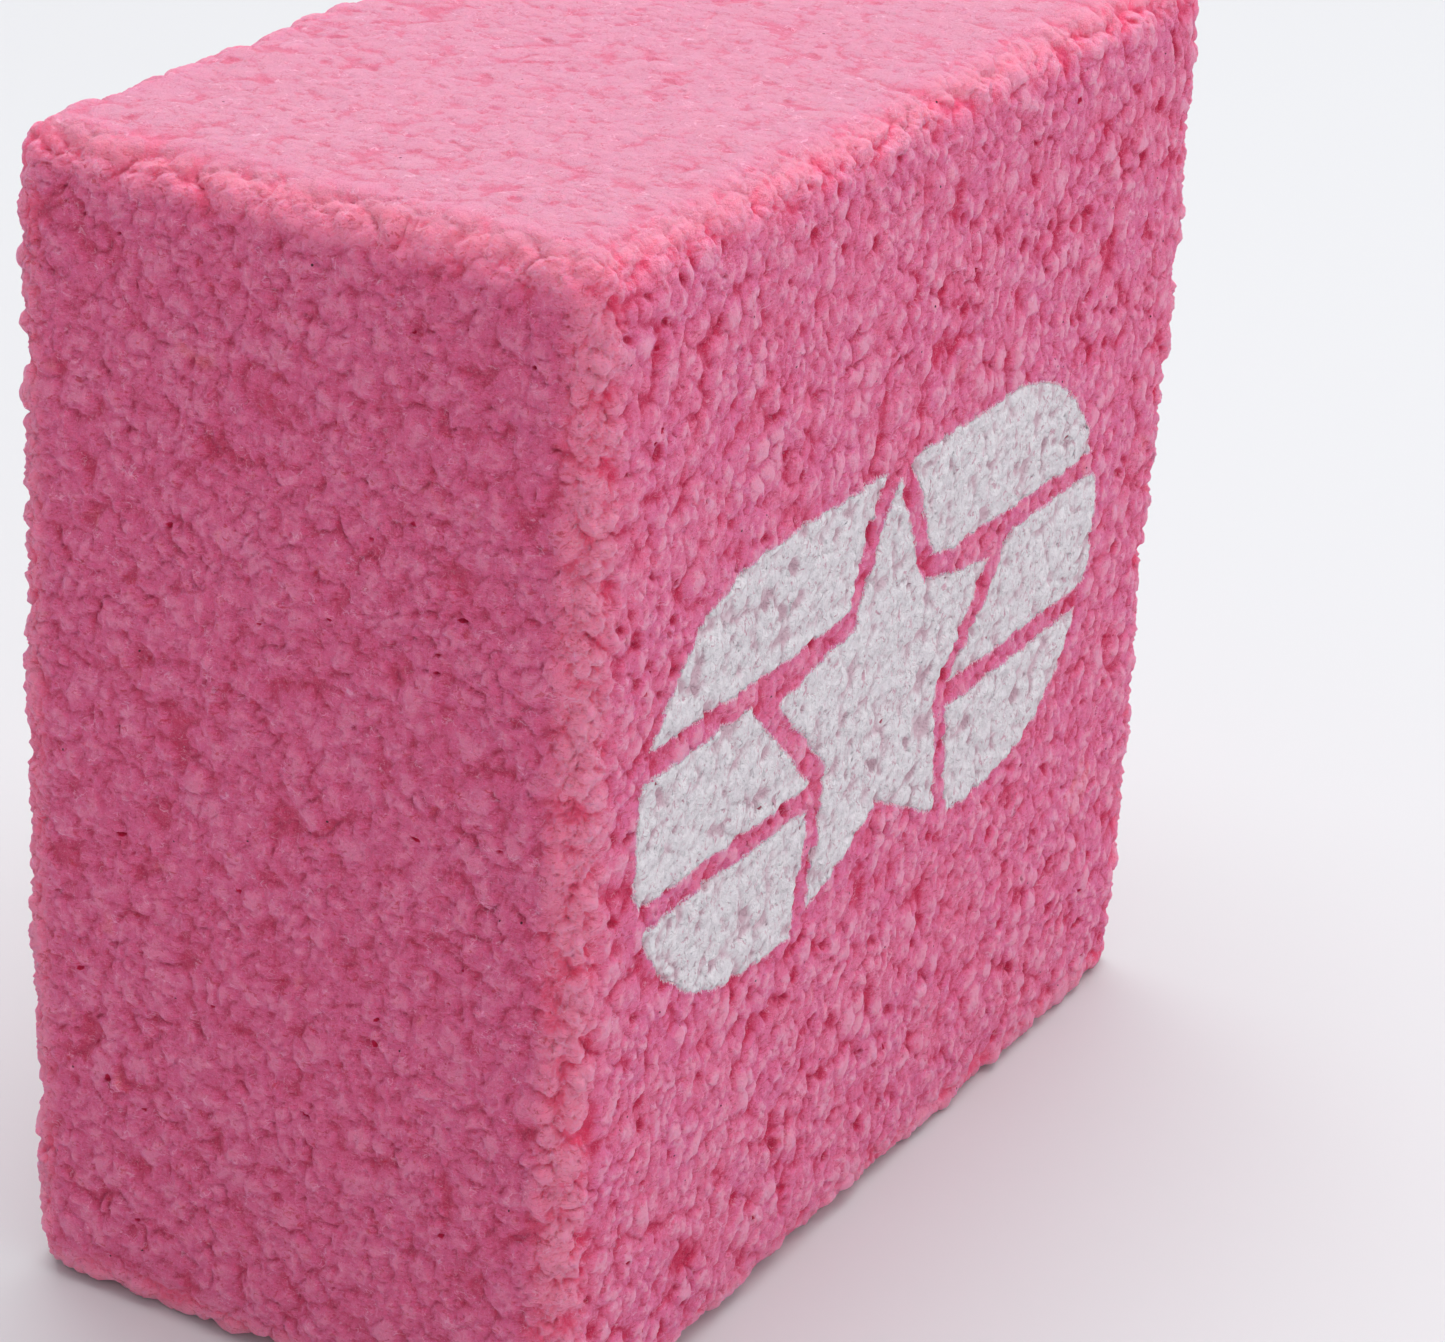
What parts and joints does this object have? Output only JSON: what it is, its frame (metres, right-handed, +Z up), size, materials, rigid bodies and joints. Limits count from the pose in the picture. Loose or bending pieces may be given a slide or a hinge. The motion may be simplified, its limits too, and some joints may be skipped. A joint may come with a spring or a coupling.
{
  "type": "gymnastics chalk block",
  "caption": "Small upright block of dyed, pressed chalk with softly rounded edges, a bumpy surface and a white print on one wide face.",
  "frame": {"origin": "centre of the narrow face that the block stands on", "axes": "+Z up, X along the two wide faces, Y through the thickness, with the printed face towards -Y"},
  "size_m": [0.0524, 0.0268, 0.051],
  "materials": {
    "pressed_chalk": "matte",
    "white_print": "matte"
  },
  "bodies": {
    "root": {"chalk_block": "pressed_chalk", "print_star": "white_print", "print_stripe_left_upper": "white_print", "print_stripe_left_middle": "white_print", "print_stripe_left_lower": "white_print", "print_stripe_right_upper": "white_print", "print_stripe_right_middle": "white_print", "print_stripe_right_lower": "white_print"}
  },
  "joints": []
}
